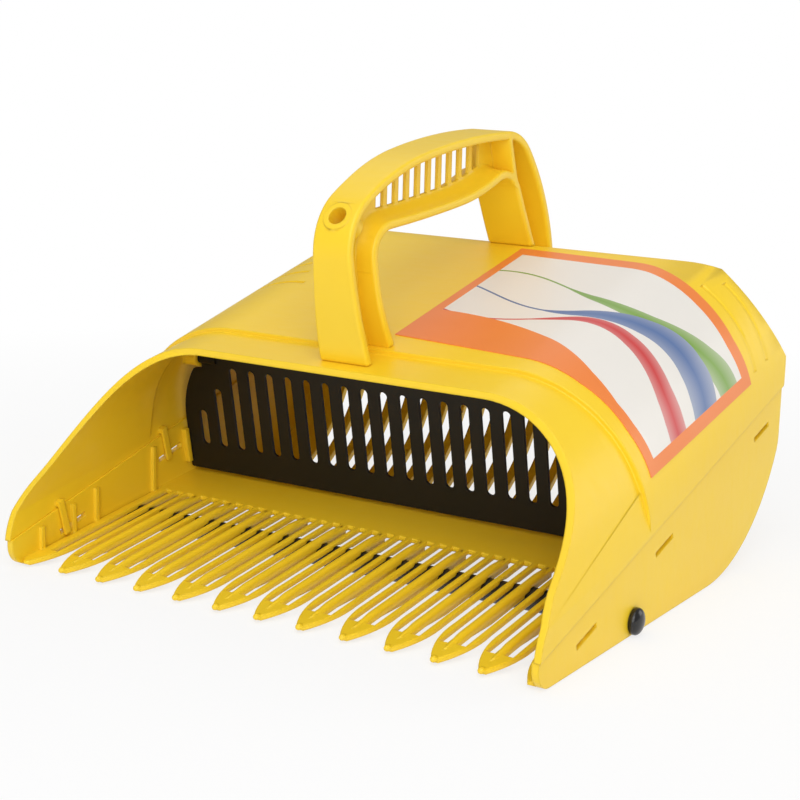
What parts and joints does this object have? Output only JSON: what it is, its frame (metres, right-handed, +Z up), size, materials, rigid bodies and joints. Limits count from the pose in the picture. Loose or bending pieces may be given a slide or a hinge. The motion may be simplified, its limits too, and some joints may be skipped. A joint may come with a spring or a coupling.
{
  "type": "blueberry rake",
  "caption": "Hand-held berry scoop with a comb mouth, a swinging slotted flap, a slotted grille at the back and a bow handle on its roof.",
  "frame": {"origin": "centre of the bounding box's footprint, on the ground the rake stands on", "axes": "+X across the rake to the labelled shoulder's side, +Y from the comb's mouth to the back, +Z up"},
  "size_m": [0.2204, 0.1983, 0.1539],
  "materials": {
    "body_yellow": "satin injection-moulded polypropylene",
    "flap_black": "satin moulded plastic",
    "rod_black": "smooth plastic rod",
    "cap_black": "glossy moulded plastic",
    "label_film": "printed film, orange border on white"
  },
  "bodies": {
    "scoop": {"hood": "body_yellow", "handle": "body_yellow", "tray": "body_yellow", "label": "label_film"},
    "flap": {"flap": "flap_black"},
    "rod": {"cross_rod": "rod_black", "rod_cap_left": "cap_black", "rod_cap_right": "cap_black"}
  },
  "joints": [
    {"name": "flap_swing", "type": "hinge", "parent": "scoop", "child": "flap", "pos_m": [0, -0.0066, 0.064], "axis": [1, 0, 0], "range_deg": [0, 63]},
    {"name": "rod_turn", "type": "hinge", "parent": "scoop", "child": "rod", "pos_m": [0, -0.0322, 0.0047], "axis": [1, 0, 0], "continuous": true}
  ]
}
